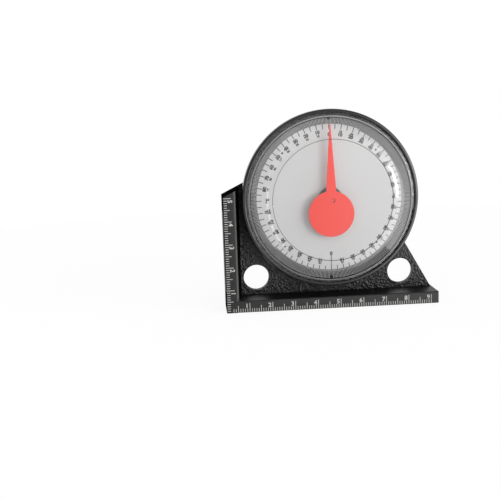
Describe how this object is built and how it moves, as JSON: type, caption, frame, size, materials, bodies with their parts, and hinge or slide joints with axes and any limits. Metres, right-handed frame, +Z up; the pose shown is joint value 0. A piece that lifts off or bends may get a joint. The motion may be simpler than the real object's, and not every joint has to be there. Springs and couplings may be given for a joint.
{
  "type": "inclinometer",
  "caption": "Pendulum angle finder: weighted red needle over a round degree dial under a clear raised cover, on a black plate with ruler edges along its base and side.",
  "frame": {"origin": "middle of the whole object's length and depth, on the surface that its base stands on", "axes": "+X along the base towards the right as the dial is read, +Y towards the back, +Z up; the dial faces -Y"},
  "size_m": [0.0932, 0.0206, 0.0861],
  "materials": {
    "body_abs": "black ABS with a fine leather texture and white pad-printed rulers",
    "bezel_abs": "smooth black ABS",
    "seal_rubber": "black foam seal",
    "clear_styrene": "clear moulded polystyrene",
    "dial_white": "white card with a black printed degree scale",
    "post_acetal": "black acetal",
    "brass": "turned brass",
    "steel": "bright steel",
    "pointer_red": "red moulded plastic",
    "magnet_rubber": "dark ferrite rubber strip"
  },
  "bodies": {
    "housing": {"body_frame": "body_abs", "bezel_ring": "bezel_abs", "lens_gasket": "seal_rubber", "lens_cover": "clear_styrene", "dial_card": "dial_white", "bearing_post": "post_acetal", "post_nut": "brass", "front_bush": "brass", "rear_bush": "brass", "rear_cover": "body_abs", "rear_cover_screws": "steel", "base_magnet": "magnet_rubber", "base_keeper": "steel", "side_magnet": "magnet_rubber", "side_keeper": "steel"},
    "pendulum": {"pivot_shaft": "steel", "front_washer": "steel", "rear_washer": "steel", "retaining_clip": "steel", "pointer_hub": "brass", "pointer_needle": "pointer_red", "counterweight": "steel"}
  },
  "joints": [
    {"name": "pointer_swing", "type": "hinge", "parent": "housing", "child": "pendulum", "pos_m": [0, 0, 0.0478], "axis": [0, -1, 0], "continuous": true}
  ]
}
